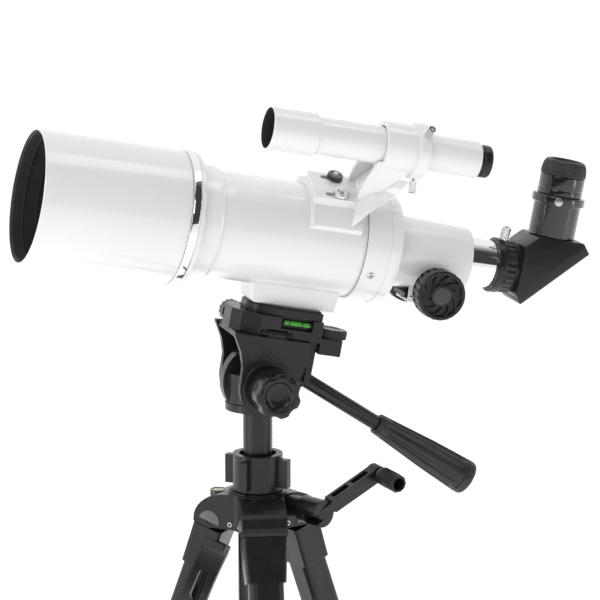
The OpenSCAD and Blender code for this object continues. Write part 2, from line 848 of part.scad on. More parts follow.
dew_shield();
trim_ring();
objective_cell();
objective_lenses();
main_tube();
mounting_foot();
focuser_housing();
pinion_bracket();
focus_shaft();
focus_knobs();
drawtube();
drawtube_collar();
drawtube_thumbscrew();
diagonal_housing();
diagonal_mirror();
eyepiece_holder();
eyepiece_set_screw();
eyepiece_body();
eyecup();
eyepiece_lenses();
finder_bracket();
bracket_nuts();
finder_tube();
finder_lenses();
finder_eyepiece();
finder_screws();
quick_release_plate();
camera_screw();
head_platform();
level_vial();
plate_wheel();
tilt_yoke();
tilt_knob();
flip_knob();
pan_barrel();
pan_base();
pan_handle_rod();
pan_handle_grip();
centre_column();
column_collar();
tripod_shoulder();
crank_hub();
crank_arm();
crank_knob();
strut_hub();
leg_upper(0);  // leg_1_upper
leg_fittings(0);  // leg_1_fittings
leg_lower(0);  // leg_1_lower
leg_lever(0);  // leg_1_lever
leg_strut(0);  // leg_1_strut
leg_upper(1);  // leg_2_upper
leg_fittings(1);  // leg_2_fittings
leg_lower(1);  // leg_2_lower
leg_lever(1);  // leg_2_lever
leg_strut(1);  // leg_2_strut
leg_upper(2);  // leg_3_upper
leg_fittings(2);  // leg_3_fittings
leg_lower(2);  // leg_3_lower
leg_lever(2);  // leg_3_lever
leg_strut(2);  // leg_3_strut
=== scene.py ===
import json
import math

import bmesh
import bpy
from mathutils import Matrix, Vector


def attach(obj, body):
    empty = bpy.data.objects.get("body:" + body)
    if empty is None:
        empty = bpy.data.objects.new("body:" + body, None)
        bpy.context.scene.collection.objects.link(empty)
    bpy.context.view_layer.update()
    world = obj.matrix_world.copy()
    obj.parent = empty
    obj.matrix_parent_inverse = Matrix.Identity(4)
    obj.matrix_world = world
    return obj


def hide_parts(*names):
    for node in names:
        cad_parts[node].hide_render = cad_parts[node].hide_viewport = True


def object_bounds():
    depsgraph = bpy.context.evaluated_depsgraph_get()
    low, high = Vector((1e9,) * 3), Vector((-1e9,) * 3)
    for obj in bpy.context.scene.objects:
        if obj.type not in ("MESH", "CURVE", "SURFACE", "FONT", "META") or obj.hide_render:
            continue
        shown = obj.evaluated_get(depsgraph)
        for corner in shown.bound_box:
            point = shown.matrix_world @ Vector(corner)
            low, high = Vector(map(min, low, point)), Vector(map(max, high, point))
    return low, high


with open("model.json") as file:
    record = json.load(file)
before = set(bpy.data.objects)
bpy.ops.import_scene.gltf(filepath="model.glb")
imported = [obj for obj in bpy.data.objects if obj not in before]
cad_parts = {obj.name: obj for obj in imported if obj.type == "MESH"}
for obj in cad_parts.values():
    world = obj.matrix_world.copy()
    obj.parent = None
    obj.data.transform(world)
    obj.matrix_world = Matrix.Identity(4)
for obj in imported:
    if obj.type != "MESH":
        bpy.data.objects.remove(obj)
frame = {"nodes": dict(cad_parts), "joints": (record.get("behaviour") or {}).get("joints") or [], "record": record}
cad_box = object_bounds()
MM = 0.001
TURN = 2 * math.pi
joints = {j["name"]: j for j in frame["joints"]}


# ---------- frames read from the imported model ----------

def axes(origin, x, y, z):
    """A frame from its origin in metres and its three axes; lengths inside it are millimetres."""
    m = Matrix((x, y, z)).transposed().to_4x4()
    m.translation = origin
    return m @ Matrix.Scale(MM, 4)


def joint_pos(name):
    return Vector(joints[name]["pos_m"])


def joint_axis(name):
    return Vector(joints[name]["axis"]).normalized()


UP = Vector((0, 0, 1))
side = Vector((0, 1, 0))
tube_dir = joint_axis("focus_slide")
tube_up = tube_dir.cross(side)
pivot = joint_pos("tilt")
HEAD = axes(pivot, tube_dir, side, tube_up)


def local_box(node, m):
    """Lowest and highest corner of a CAD node in a frame, in millimetres."""
    inv = m.inverted()
    co = [inv @ v.co for v in frame["nodes"][node].data.vertices]
    return (Vector([min(c[i] for c in co) for i in range(3)]),
            Vector([max(c[i] for c in co) for i in range(3)]))


# HEAD has its origin on the tilt axis: x to the rear along the tube, y to the far side, z up from it.
# TUBE lies on the optical axis: z to the rear from the front rim, -x up, y to the far side.
# EYE stands where the eyepiece axis meets the optical axis, with its axes along HEAD's.
tube_lo, tube_hi = local_box("main_tube", HEAD)
axis_h = (tube_lo.z + tube_hi.z) / 2
front = local_box("dew_shield", HEAD)[0].x
TUBE = HEAD @ Matrix.Translation((front, 0, axis_h)) @ Matrix(
    ((0, 0, 1, 0), (0, 1, 0, 0), (-1, 0, 0, 0), (0, 0, 0, 1)))
cup_lo, cup_hi = local_box("eyecup", HEAD)
EYE = HEAD @ Matrix.Translation((cup_lo.x / 2 + cup_hi.x / 2, 0, axis_h))

# A frame turned so that its z axis points to the near side, or to the far side
NEAR = Matrix(((1, 0, 0, 0), (0, 0, -1, 0), (0, 1, 0, 0), (0, 0, 0, 1)))
FAR = Matrix(((1, 0, 0, 0), (0, 0, 1, 0), (0, -1, 0, 0), (0, 0, 0, 1)))


# ---------- mesh helpers ----------

def set_sharp(bm, degrees):
    limit = math.radians(degrees)
    for face in bm.faces:
        face.smooth = True
    for edge in bm.edges:
        edge.smooth = len(edge.link_faces) == 2 and edge.calc_face_angle(0) < limit


def add_piece(name, bm, body, mats, nodes=(), sharp=35):
    """A finished piece from a bmesh whose points are already where they belong at rest."""
    bmesh.ops.recalc_face_normals(bm, faces=bm.faces)
    set_sharp(bm, sharp)
    mesh = bpy.data.meshes.new(name)
    bm.to_mesh(mesh)
    bm.free()
    for mat in mats:
        mesh.materials.append(mat)
    piece = bpy.data.objects.new(name, mesh)
    bpy.context.scene.collection.objects.link(piece)
    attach(piece, body)
    if nodes:
        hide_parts(*nodes)
    return piece


def fillet(points, radius, steps=3):
    """Profile of (r, z, material) with its corners rounded. The last material of a corner carries on."""
    out = []
    count = len(points)
    for i in range(count):
        r, z, mat = points[i]
        if i in (0, count - 1) or radius <= 0:
            out.append((r, z, mat))
            continue
        p = Vector((r, z))
        a = Vector(points[i - 1][:2]) - p
        b = Vector(points[i + 1][:2]) - p
        if min(a.length, b.length) < 1e-6 or a.angle(b) > math.radians(172):
            out.append((r, z, mat))
            continue
        cut = min(radius, a.length * 0.45, b.length * 0.45)
        start, end = p + a.normalized() * cut, p + b.normalized() * cut
        for k in range(steps + 1):
            t = k / steps
            q = start * (1 - t) ** 2 + p * 2 * t * (1 - t) + end * t ** 2
            out.append((q.x, q.y, points[i - 1][2] if t < 0.5 else mat))
    return out


def turned(bm, m, profile, seg=96, round_to=0.35, shape=None, closed=False):
    """Turn a profile of (radius, height, material) about the frame's z axis, in millimetres.
    A radius of 0 closes to a point. shape(r, z, angle) may move a point and returns (r, z)."""
    pts = [p if len(p) == 3 else (p[0], p[1], 0) for p in profile]
    if closed:
        middle = (Vector(pts[0][:2]) + Vector(pts[-1][:2])) / 2
        pts = [(middle.x, middle.y, pts[-1][2])] + pts + [(middle.x, middle.y, pts[-1][2])]
    pts = fillet(pts, round_to)
    rings = []
    for r, z, _ in pts:
        if r < 1e-6:
            rings.append([bm.verts.new(m @ Vector((0, 0, z)))])
            continue
        ring = []
        for k in range(seg):
            a = TURN * k / seg
            rr, zz = shape(r, z, a) if shape else (r, z)
            ring.append(bm.verts.new(m @ Vector((rr * math.cos(a), rr * math.sin(a), zz))))
        rings.append(ring)
    if closed:
        rings[-1] = rings[0]
    for i in range(len(rings) - 1):
        low, high = rings[i], rings[i + 1]
        for k in range(seg):
            n = (k + 1) % seg
            if len(low) == 1 and len(high) == 1:
                continue
            if len(low) == 1:
                corners = (low[0], high[k], high[n])
            elif len(high) == 1:
                corners = (low[k], low[n], high[0])
            else:
                corners = (low[k], low[n], high[n], high[k])
            face = bm.faces.new(corners)
            face.material_index = pts[i][2]
    return bm


def solid(bm, m, outline, z0, z1, bevel=0.4, mat=0, segments=2):
    """A flat outline of (x, y) points raised between two heights, with its rims rounded."""
    part = bmesh.new()
    low = [part.verts.new(Vector((x, y, z0))) for x, y in outline]
    face = part.faces.new(low)
    made = bmesh.ops.extrude_face_region(part, geom=[face])
    for v in made["geom"]:
        if isinstance(v, bmesh.types.BMVert):
            v.co.z = z1
    bmesh.ops.recalc_face_normals(part, faces=part.faces)
    if bevel > 0:
        edges = [e for e in part.edges if e.calc_face_angle(0) > math.radians(25)]
        bmesh.ops.bevel(part, geom=edges, offset=bevel, segments=segments, profile=0.5, affect="EDGES",
                        clamp_overlap=True)
    for f in part.faces:
        f.material_index = mat
    part.transform(m)
    temp = bpy.data.meshes.new("temp")
    part.to_mesh(temp)
    part.free()
    bm.from_mesh(temp)
    bpy.data.meshes.remove(temp)
    return bm


def block(bm, m, lo, hi, bevel=0.4, mat=0, segments=2):
    outline = [(lo[0], lo[1]), (hi[0], lo[1]), (hi[0], hi[1]), (lo[0], hi[1])]
    return solid(bm, m, outline, lo[2], hi[2], bevel, mat, segments)


def place(m, x=0, y=0, z=0, rx=0, ry=0, rz=0):
    """A frame moved and then turned, in degrees, inside another."""
    return (m @ Matrix.Translation((x, y, z)) @ Matrix.Rotation(math.radians(rz), 4, "Z")
            @ Matrix.Rotation(math.radians(ry), 4, "Y") @ Matrix.Rotation(math.radians(rx), 4, "X"))


def flutes(count, depth, width=0.5, z0=-1e9, z1=1e9):
    """Round hollows round a rim: depth in millimetres at the middle of each."""
    def shape(r, z, a):
        if not z0 <= z <= z1 or r < depth * 2:
            return r, z
        t = (a * count / TURN) % 1
        t = abs(t - 0.5) / width
        return (r - depth * (1 - t * t) if t < 1 else r), z
    return shape


def outside(limit, shape):
    """The same shape, but only for points further out than a limit."""
    def part(r, z, a):
        return shape(r, z, a) if r > limit else (r, z)
    return part


# ---------- materials ----------

def nodes_of(mat):
    mat.use_nodes = True
    tree = mat.node_tree
    return tree, tree.nodes, tree.links, tree.nodes["Principled BSDF"]


def finish(name, dark, light, rough, grain=600, bump=0.02, metal=0.0, coat=0.0, edge=0.35, smear=0.25,
           stretch=(1, 1, 1), **plain):
    """A procedural finish: cloudy colour and roughness, a fine grain in the surface and softened edges."""
    mat = bpy.data.materials.new(name)
    tree, nodes, links, shader = nodes_of(mat)
    place_in = nodes.new("ShaderNodeTexCoord")
    mapping = nodes.new("ShaderNodeMapping")
    mapping.inputs["Scale"].default_value = stretch
    links.new(place_in.outputs["Object"], mapping.inputs["Vector"])
    cloud = nodes.new("ShaderNodeTexNoise")
    cloud.inputs["Scale"].default_value = 22
    cloud.inputs["Detail"].default_value = 5
    links.new(mapping.outputs["Vector"], cloud.inputs["Vector"])
    colour = nodes.new("ShaderNodeValToRGB")
    colour.color_ramp.elements[0].position = 0.3
    colour.color_ramp.elements[0].color = (*dark, 1)
    colour.color_ramp.elements[1].position = 0.72
    colour.color_ramp.elements[1].color = (*light, 1)
    links.new(cloud.outputs["Fac"], colour.inputs["Fac"])
    links.new(colour.outputs["Color"], shader.inputs["Base Color"])
    smudge = nodes.new("ShaderNodeTexNoise")
    smudge.inputs["Scale"].default_value = 60
    smudge.inputs["Detail"].default_value = 6
    links.new(mapping.outputs["Vector"], smudge.inputs["Vector"])
    gloss = nodes.new("ShaderNodeMapRange")
    gloss.inputs["From Min"].default_value = 0.3
    gloss.inputs["From Max"].default_value = 0.7
    gloss.inputs["To Min"].default_value = rough * (1 - smear)
    gloss.inputs["To Max"].default_value = rough * (1 + smear)
    links.new(smudge.outputs["Fac"], gloss.inputs["Value"])
    links.new(gloss.outputs["Result"], shader.inputs["Roughness"])
    fine = nodes.new("ShaderNodeTexNoise")
    fine.inputs["Scale"].default_value = grain
    fine.inputs["Detail"].default_value = 3
    links.new(mapping.outputs["Vector"], fine.inputs["Vector"])
    relief = nodes.new("ShaderNodeBump")
    relief.inputs["Strength"].default_value = bump
    relief.inputs["Distance"].default_value = 0.0004
    links.new(fine.outputs["Fac"], relief.inputs["Height"])
    soft = nodes.new("ShaderNodeBevel")
    soft.samples = 4
    soft.inputs["Radius"].default_value = edge * MM
    links.new(soft.outputs["Normal"], relief.inputs["Normal"])
    links.new(relief.outputs["Normal"], shader.inputs["Normal"])
    shader.inputs["Metallic"].default_value = metal
    shader.inputs["Coat Weight"].default_value = coat
    shader.inputs["Coat Roughness"].default_value = 0.06
    for key, value in plain.items():
        shader.inputs[key.replace("_", " ")].default_value = value
    return mat


white = finish("white_enamel_finish", (0.875, 0.875, 0.868), (0.893, 0.893, 0.887), 0.20, grain=260,
               bump=0.02, coat=0.6, edge=0.5)
flock = finish("matt_black_finish", (0.016, 0.015, 0.014), (0.024, 0.023, 0.022), 0.75, grain=1400,
               bump=0.12)
chrome = finish("chrome_finish", (0.80, 0.80, 0.81), (0.88, 0.88, 0.89), 0.07, grain=900, bump=0.01,
                metal=1.0)
steel = finish("bright_steel_finish", (0.60, 0.60, 0.59), (0.74, 0.74, 0.73), 0.24, grain=1500, bump=0.05,
               metal=1.0)
glass = finish("lens_glass_finish", (0.70, 0.82, 0.78), (0.78, 0.88, 0.90), 0.02, grain=300, bump=0.0,
               coat=0.6, edge=0.1, Transmission_Weight=0.92, IOR=1.52)
mirror = finish("mirror_finish", (0.86, 0.87, 0.88), (0.90, 0.91, 0.92), 0.03, grain=300, bump=0.0,
                metal=1.0, edge=0.1)
plastic = finish("black_plastic_finish", (0.012, 0.012, 0.012), (0.018, 0.018, 0.017), 0.30, grain=1100,
                 bump=0.05, edge=0.45, coat=0.1, Specular_IOR_Level=0.32)
gloss_black = finish("gloss_black_finish", (0.010, 0.010, 0.010), (0.016, 0.016, 0.016), 0.15, grain=700,
                     bump=0.012, coat=0.7, edge=0.4)
rubber = finish("rubber_finish", (0.016, 0.016, 0.016), (0.028, 0.027, 0.026), 0.42, grain=900, bump=0.12)
vial = finish("vial_finish", (0.03, 0.33, 0.02), (0.09, 0.52, 0.04), 0.06, grain=200, bump=0.0, coat=0.8,
              edge=0.2, Transmission_Weight=0.2)
pale_vial = finish("pale_vial_finish", (0.42, 0.50, 0.16), (0.55, 0.62, 0.25), 0.08, grain=200, bump=0.0,
                   coat=0.8, edge=0.2)
head = finish("head_plastic_finish", (0.012, 0.012, 0.0115), (0.019, 0.018, 0.017), 0.30, grain=1300,
              bump=0.05, edge=0.7, coat=0.12, Specular_IOR_Level=0.32)
anodised = finish("black_anodised_finish", (0.020, 0.020, 0.020), (0.034, 0.033, 0.032), 0.30, grain=1500,
                  bump=0.05, metal=0.4, stretch=(1, 1, 0.15))
grey_tube = finish("lower_tube_finish", (0.06, 0.06, 0.062), (0.10, 0.10, 0.102), 0.28, grain=1500,
                   bump=0.06, metal=0.9, stretch=(1, 1, 0.1))
grey = finish("grey_plastic_finish", (0.13, 0.13, 0.13), (0.17, 0.17, 0.165), 0.45, grain=1100, bump=0.08)
# near-black for real marks, caps and joints, and also painted shade in screw recesses, a screw socket and the
# clamp slit
detail_and_painted_shade_black = finish("line_black_finish", (0.006, 0.006, 0.006), (0.012, 0.012, 0.012), 0.35, grain=900,
                    bump=0.02, edge=0.1)

slot_finish = {
    "white_enamel": white, "chrome": chrome, "bright_steel": steel, "lens_glass": glass, "mirror": mirror,
    "black_plastic": plastic, "gloss_black": gloss_black, "rubber": rubber, "vial": vial,
    "head_plastic": head, "black_anodised": anodised, "lower_tube": grey_tube,
}
node_slot = {}
for entry in frame["record"]["subparts"]:
    node_slot[entry["node"]] = entry["material_slot"]
for n, obj in frame["nodes"].items():
    finish_for = slot_finish[node_slot.get(n, "head_plastic")]
    if not obj.material_slots:
        obj.data.materials.append(finish_for)
    for s in obj.material_slots:
        s.material = finish_for


# ---------- camera, light and floor ----------

azimuth, elevation = math.radians(-16.5), math.radians(11.26)
distance = 2.626
back = Vector((math.sin(azimuth) * math.cos(elevation), -math.cos(azimuth) * math.cos(elevation),
               math.sin(elevation)))
right = Vector((math.cos(azimuth), math.sin(azimuth), 0))
above = back.cross(right)
aim = Vector((0, 0, pivot.z + 0.0599)) + right * 0.032 + above * 0.0017
camera = bpy.data.objects.new("camera", bpy.data.cameras.new("camera"))
bpy.context.scene.collection.objects.link(camera)
camera.data.sensor_width = 36
camera.data.lens = 210
camera.data.clip_end = 100
camera.matrix_world = axes(aim + back * distance, right, above, back) @ Matrix.Scale(1 / MM, 4)
bpy.context.scene.camera = camera
bpy.context.scene.view_settings.view_transform = "Standard"

world = bpy.data.worlds.new("studio")
bpy.context.scene.world = world
world.use_nodes = True
wn, wl = world.node_tree.nodes, world.node_tree.links
direction = wn.new("ShaderNodeTexCoord")
split = wn.new("ShaderNodeSeparateXYZ")
wl.new(direction.outputs["Generated"], split.inputs["Vector"])
depth = wn.new("ShaderNodeMapRange")
depth.interpolation_type = "SMOOTHSTEP"
depth.inputs["From Min"].default_value = -0.45
depth.inputs["From Max"].default_value = 0.35
depth.inputs["To Min"].default_value = 0.055
depth.inputs["To Max"].default_value = 1.0
wl.new(split.outputs["Y"], depth.inputs["Value"])
wl.new(depth.outputs["Result"], wn["Background"].inputs["Strength"])
wn["Background"].inputs["Color"].default_value = (1, 1, 1, 1)


def area(name, where, size, power):
    light = bpy.data.lights.new(name, "AREA")
    light.shape = "RECTANGLE"
    light.size, light.size_y = size
    light.energy = power
    lamp = bpy.data.objects.new(name, light)
    bpy.context.scene.collection.objects.link(lamp)
    turn = (aim - Vector(where)).to_track_quat("-Z", "Y")
    lamp.matrix_world = Matrix.Translation(where) @ turn.to_matrix().to_4x4()
    return lamp


area("key", aim + Vector((-1.3, -1.5, 1.3)), (1.2, 0.8), 14)
area("top", aim + Vector((0.2, -0.4, 1.8)), (2.4, 0.6), 8)
area("fill", aim + Vector((1.7, -1.3, 0.3)), (0.35, 1.6), 6)
area("strip", aim + Vector((-1.9, -0.3, 0.1)), (0.4, 1.8), 7)

floor_bm = bmesh.new()
bmesh.ops.create_grid(floor_bm, x_segments=8, y_segments=8, size=30)
floor_mesh = bpy.data.meshes.new("floor")
floor_bm.to_mesh(floor_mesh)
floor_bm.free()
floor = bpy.data.objects.new("floor", floor_mesh)
floor.location.z = cad_box[0][2] - 0.0002
bpy.context.scene.collection.objects.link(floor)
pale = finish("floor_finish", (0.90, 0.90, 0.90), (0.93, 0.93, 0.93), 0.7, grain=40, bump=0.01,
              Emission_Color=(1, 1, 1, 1), Emission_Strength=0.50)
floor_mesh.materials.append(pale)

# ---------- pieces: optical tube ----------

finder_point = HEAD.inverted() @ joint_pos("finder_focus_turn")
finder_rise = math.hypot(finder_point.y, finder_point.z - axis_h)
finder_lean = math.degrees(math.atan2(-finder_point.y, finder_point.z - axis_h))
FINDER = place(TUBE, rz=finder_lean) @ Matrix.Translation((-finder_rise, 0, 0))


def radial(m, angle, z, r):
    """A frame whose z axis points away from the axis of m, at an angle, a height and a radius."""
    return place(m, rz=angle) @ Matrix.Translation((r, 0, z)) @ Matrix.Rotation(math.radians(90), 4, "Y")


def knurled(bm, m, r, z0, z1, count, depth=0.25, mat=0, seg=None, dome=0.0):
    """A knurled head between two heights with softened rims."""
    seg = seg or count * 6
    middle = (z0 + z1) / 2
    half = abs(z1 - z0) / 2
    ribs = flutes(count, depth, 0.5, middle - half * 0.8, middle + half * 0.8)
    steps = [z0 + (z1 - z0) * t for t in (0.1, 0.12, 0.88, 0.9)]
    profile = [(0, z0, mat), (r, z0, mat)] + [(r, z, mat) for z in steps]
    profile += [(r, z1, mat), (0, z1 + dome, mat)]
    turned(bm, m, profile, seg=seg, round_to=min(0.3, r * 0.12), shape=ribs)


def cross_screw(bm, m, r, height, mat=0, dark=1):
    """A pan head with a cross recess, which is not cut: a cross of blocks in the dark material paints its shade.
    """
    turned(bm, m, [(0, height, mat), (r * 0.6, height * 0.94, mat), (r * 0.92, height * 0.6, mat),
                   (r, 0.1, mat), (r, -0.4, mat), (0, -0.4, mat)], seg=40, round_to=0.15)
    # painted shade: the cross recess is a near-black block sunk in the head, not a hollow
    for turn in (20, 110):
        cross = place(m, rz=turn)
        block(bm, cross, (-r * 0.55, -r * 0.12, height * 0.72), (r * 0.55, r * 0.12, height * 0.99), 0.04,
              dark, 1)


# dew shield with its white rim and a baffled black inside
bm = bmesh.new()
turned(bm, TUBE, [(48.7, 0.2, 1), (47.0, 1.8, 1), (47.0, 98, 1), (45.5, 98, 1), (45.5, 100, 1),
                  (48.4, 100, 1), (48.4, 112, 0), (50, 112, 0), (50, 0.8, 0), (49.6, 0.05, 0),
                  (49.1, 0.02, 1)], seg=192, round_to=0.3, closed=True)
for k in range(9):
    z = 9 + 10.5 * k
    turned(bm, TUBE, [(47.05, z, 1), (46.2, z + 0.3, 1), (46.2, z + 0.7, 1), (47.05, z + 1, 1)], seg=192,
           round_to=0)
add_piece("dew_shield_shell", bm, "dew_shield", [white, flock], ["dew_shield"])

# chrome ring behind it
bm = bmesh.new()
turned(bm, TUBE, [(48.6, 112.15, 0), (50.9, 112.15, 0), (51.5, 112.9, 0), (51.5, 117.7, 0),
                  (50.9, 118.4, 0), (48.6, 118.4, 0)], seg=192, round_to=0.25, closed=True)
add_piece("trim_ring_chrome", bm, "scope", [chrome], ["trim_ring"])

# objective cell: spigot, flange, collar over the tube, and the lens seat
bm = bmesh.new()
turned(bm, TUBE, [(38, 101.05, 1), (48.3, 101.05, 1), (48.3, 118.5, 0), (50.5, 118.5, 0), (50.5, 122, 0),
                  (42.6, 122, 0), (42.5, 137.2, 0), (41.8, 139.3, 0), (40.6, 140, 0), (40.05, 140, 0),
                  (40.05, 124, 1), (34.6, 124, 1), (34.6, 121, 1), (36.1, 121, 1), (36.1, 105, 1)],
       seg=192, round_to=0.5, closed=True)
turned(bm, TUBE, [(36.15, 104.9, 1), (34.4, 104.6, 1), (34.4, 103.2, 1), (37.2, 102.8, 1)], seg=128,
       round_to=0.2)
add_piece("objective_cell_body", bm, "scope", [white, flock], ["objective_cell"])

# main tube with three baffles inside
bm = bmesh.new()
turned(bm, TUBE, [(38.5, 124.2, 1), (38.5, 268, 0), (39.97, 268, 0), (39.97, 124.2, 0)], seg=192,
       round_to=0.1, closed=True)
for z in (150, 185, 220):
    turned(bm, TUBE, [(38.5, z, 1), (30 - (z - 150) * 0.08, z + 0.2, 1),
                      (30 - (z - 150) * 0.08, z + 0.6, 1), (38.5, z + 0.8, 1)], seg=96, round_to=0)
add_piece("main_tube_shell", bm, "scope", [white, flock], ["main_tube"])

# screws round the focuser flange, their cross recesses painted shade in the near-black slot, and the seam where it
# meets the tube
bm = bmesh.new()
for angle in (-66, 54, 174):
    cross_screw(bm, radial(TUBE, angle, 260, 41.1), 3.0, 1.4)
turned(bm, TUBE, [(41.2, 251.6, 2), (41.28, 251.9, 2), (41.28, 252.1, 2), (39.98, 252.1, 2)], seg=192,
       round_to=0)
add_piece("focuser_flange_screws", bm, "scope", [steel, detail_and_painted_shade_black, grey])

# drawtube with the rack under it
bm = bmesh.new()
turned(bm, TUBE, [(16.6, 262.1, 1), (16.6, 369.8, 0), (18.25, 369.8, 0), (18.25, 262.1, 0)], seg=192,
       round_to=0.3, closed=True)
rack_start, rack_pitch, rack_teeth = 264.2, 2, 38
teeth = [(17.6, rack_start)]
for k in range(rack_teeth):
    z = rack_start + rack_pitch * k
    teeth += [(18.85, z + 0.46), (19.9, z + 0.75), (19.9, z + 1.25), (18.85, z + 1.54)]
teeth.append((17.6, teeth[-1][1] + 0.46))
solid(bm, TUBE @ NEAR, teeth, -3, 3, 0.0, 2)
add_piece("drawtube_chrome", bm, "drawtube", [chrome, flock, steel], ["drawtube"])

# smooth ring and ribbed ring at the end of the drawtube
bm = bmesh.new()
turned(bm, TUBE, [(18.3, 366.1, 0), (20.4, 366.1, 0), (21, 366.7, 0), (21, 372.2, 0), (20.5, 373, 0),
                  (20.2, 373.2, 0), (20.25, 373.9, 0), (20.25, 374.1, 0), (20.25, 380.6, 0),
                  (20.25, 380.9, 0), (19.6, 382, 0), (15.95, 382, 0), (15.95, 369.9, 0),
                  (18.3, 369.9, 0)], seg=26 * 8, round_to=0.25, shape=flutes(26, 0.75, 0.42, 373.9, 381),
       closed=True)
add_piece("drawtube_collar_ribbed", bm, "drawtube", [plastic], ["drawtube_collar"])

# thumbscrew that holds the diagonal
bm = bmesh.new()
screw = radial(TUBE, 192, 371.6, 0)
knurled(bm, screw, 3.5, 21.6, 31.4, 20, 0.28)
turned(bm, screw, [(0, 16.1, 0), (1.4, 16.2, 0), (1.5, 22, 0), (0, 22, 0)], seg=32, round_to=0.1)
turned(bm, screw, [(0, 31.46, 1), (1.5, 31.46, 1), (1.7, 31.3, 1)], seg=32, round_to=0)
add_piece("drawtube_thumbscrew_head", bm, "drawtube_screw", [steel, grey],
          ["drawtube_thumbscrew"])

# focus knobs
focus_centre = HEAD.inverted() @ joint_pos("focus_knob_turn")
for label, sign in (("near", -1), ("far", 1)):
    bm = bmesh.new()
    knob_at = focus_centre + Vector((0, sign * 30, 0))
    KNOB = HEAD @ Matrix.Translation(knob_at) @ (NEAR if sign < 0 else FAR)
    grip = outside(17.9, flutes(22, 1.15, 0.40, 0.9, 14.4))
    turned(bm, KNOB, [(2.6, -4, 0), (7.6, -4, 0), (8, -3.4, 0), (8, -0.6, 0), (9, 0, 0), (18.0, 0, 0),
                      (18.8, 0.7, 0), (19, 1.4, 0), (19, 1.6, 0), (19, 13.2, 0), (19, 13.5, 0),
                      (18.7, 14.4, 0), (17.8, 15, 0), (16.6, 15, 0), (15.9, 14.6, 0), (15.5, 12.2, 0),
                      (8.6, 12.2, 0), (8.3, 14.6, 0), (7.8, 14.8, 0), (0, 14.8, 0)], seg=22 * 12,
           round_to=0.3, shape=grip)
    for k in range(10):
        outline, other = [], []
        for j in range(7):
            t = j / 6
            rr = 8.0 + 8.0 * t
            a = TURN * k / 10 + sign * (0.62 * t ** 1.2)
            half = 0.55 + 0.35 * t
            outline.append((rr * math.cos(a - half / rr), rr * math.sin(a - half / rr)))
            other.append((rr * math.cos(a + half / rr), rr * math.sin(a + half / rr)))
        solid(bm, KNOB, outline + other[::-1], 12.0, 14.3, 0.18, 0, 2)
    turned(bm, KNOB, [(0, 14.95, 1), (6.4, 14.95, 1), (6.8, 14.7, 1)], seg=64, round_to=0.1)
    add_piece("focus_knob_" + label, bm, "focus_knobs", [plastic, gloss_black],
              ["focus_knobs"] if sign < 0 else [])

# star diagonal
bm = bmesh.new()
BODY = EYE @ NEAR
shell = [(-26, 19.8), (-16.6, 28.4), (20.4, 28.4), (26.2, 21), (25.0, 19.6), (-21.8, -23.4),
         (-26.9, -17.8)]
solid(bm, BODY, shell, -19.9, 19.9, 1.1, 0, 3)
cover = [(26.45, 20.9), (24.9, 22.6), (-24.2, -21.8), (-21.5, -24.95)]
solid(bm, BODY, cover, -19.3, 19.3, 0.7, 0, 3)
# four cross screws on the cover; their recesses are painted shade in the near-black slot
for y in (-1, 1):
    for t in (0.12, 0.88):
        x = -22.6 + 48.3 * t
        z = -23.4 + 45.2 * t
        spot = (EYE @ Matrix.Translation((x + 0.35, y * 15.5, z - 0.35))
                @ Matrix.Rotation(math.radians(135), 4, "Y"))
        cross_screw(bm, spot, 1.5, 0.35, 1, 2)
NOSE = EYE @ Matrix.Rotation(math.radians(-90), 4, "Y")
turned(bm, NOSE, [(14.1, 25, 3), (14.1, 58.9, 3), (15.2, 58.9, 3), (15.83, 58.2, 3), (15.83, 30.2, 3),
                  (17.6, 29.4, 0), (17.6, 26.2, 0), (17.2, 25.4, 0)], seg=128, round_to=0.25)
add_piece("diagonal_body", bm, "diagonal", [plastic, steel, detail_and_painted_shade_black, chrome],
          ["diagonal_housing"])

# eyepiece holder and its set screw
bm = bmesh.new()
turned(bm, EYE, [(15.1, 28.6, 0), (17.6, 28.6, 0), (18, 29.0, 0), (18, 53.6, 0), (18.3, 54.1, 0),
                 (19.8, 54.2, 0), (20.25, 54.8, 0), (20.25, 59.8, 0), (19.7, 60.5, 0), (16.4, 60.5, 0),
                 (15.92, 60.1, 0), (15.92, 33.1, 0), (15.1, 33, 0)], seg=160, round_to=0.3, closed=True)
add_piece("eyepiece_holder_ring", bm, "diagonal", [gloss_black], ["eyepiece_holder"])

screw_dir = joint_axis("eyepiece_screw_turn")
bm = bmesh.new()
SET = axes(joint_pos("eyepiece_screw_turn"), tube_up, screw_dir.cross(tube_up), screw_dir)
knurled(bm, SET, 3, 0.7, 3.9, 18, 0.22)
turned(bm, SET, [(0, -3.8, 0), (1.4, -3.7, 0), (1.5, 0.8, 0), (0, 0.8, 0)], seg=24, round_to=0.1)
add_piece("eyepiece_set_screw_head", bm, "eyepiece_screw", [steel],
          ["eyepiece_set_screw"])

# eyepiece and its rubber cup
bm = bmesh.new()
turned(bm, EYE, [(14.2, 36.1, 2), (15.6, 36.1, 1), (15.85, 36.5, 1), (15.85, 60.55, 0), (16.9, 60.65, 0),
                 (17.25, 61.2, 0), (17.25, 64.6, 0), (16.95, 65.0, 0), (16.95, 65.8, 0), (17.25, 66.2, 0),
                 (17.25, 75.4, 0), (16.8, 75.95, 0), (14, 76, 0), (14, 85, 0), (11.55, 85, 2),
                 (11.5, 63, 2), (14.2, 62.9, 2)], seg=160, round_to=0.25, closed=True)
add_piece("eyepiece_barrel", bm, "eyepiece", [gloss_black, chrome, flock],
          ["eyepiece_body"])

